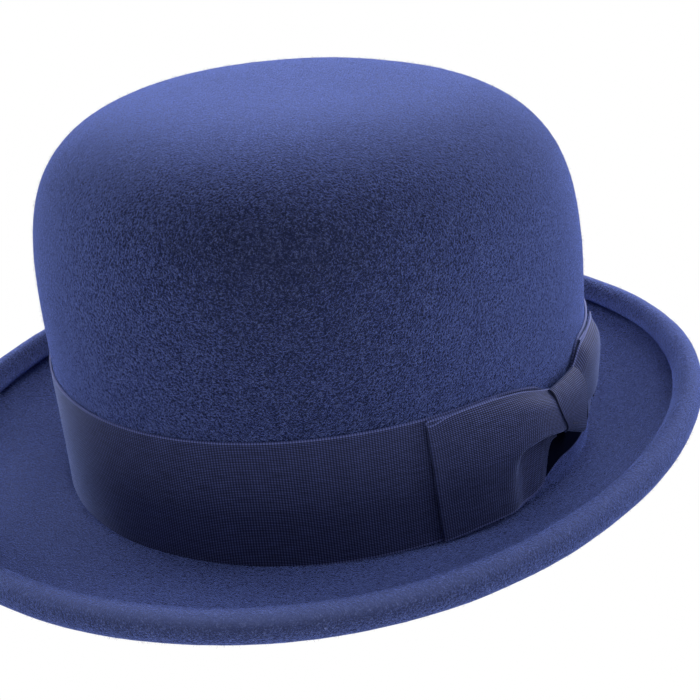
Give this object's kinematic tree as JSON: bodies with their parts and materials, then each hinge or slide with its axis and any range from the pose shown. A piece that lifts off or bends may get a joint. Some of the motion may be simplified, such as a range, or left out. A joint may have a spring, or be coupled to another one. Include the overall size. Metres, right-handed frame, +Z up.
{
  "type": "bowler hat",
  "caption": "Navy felt bowler hat with a rounded hard crown, a narrow brim with a curled edge, a ribbed ribbon band, a flat side bow, a sweatband and a satin lining.",
  "frame": {"origin": "centre of the head opening, level with the line where the brim leaves the crown", "axes": "+Z up out of the top of the crown, -Y the front of the hat, +X the wearer's left, the side with the bow"},
  "size_m": [0.2628, 0.3104, 0.1338],
  "materials": {
    "navy_wool_felt": "matte navy wool felt with a short nap",
    "navy_grosgrain": "dark navy grosgrain ribbon with fine upright ribs",
    "sweatband_cloth": "dark navy woven sweatband cloth",
    "navy_satin": "navy satin lining",
    "reed_plastic": "off-white extruded plastic cord, hidden in the tape",
    "label_cloth": "plain cream woven label, blank"
  },
  "bodies": {
    "root": {"felt_body": "navy_wool_felt", "hatband": "navy_grosgrain", "bow_base": "navy_grosgrain", "bow_front_wing": "navy_grosgrain", "bow_rear_wing": "navy_grosgrain", "bow_knot": "navy_grosgrain", "sweatband": "sweatband_cloth", "sweatband_reed": "reed_plastic", "reed_tape": "navy_grosgrain", "tie_loops": "navy_grosgrain", "tie_knot": "navy_grosgrain", "lining_side": "navy_satin", "lining_tip": "navy_satin", "lining_piping": "navy_satin", "size_label": "label_cloth"}
  },
  "joints": []
}
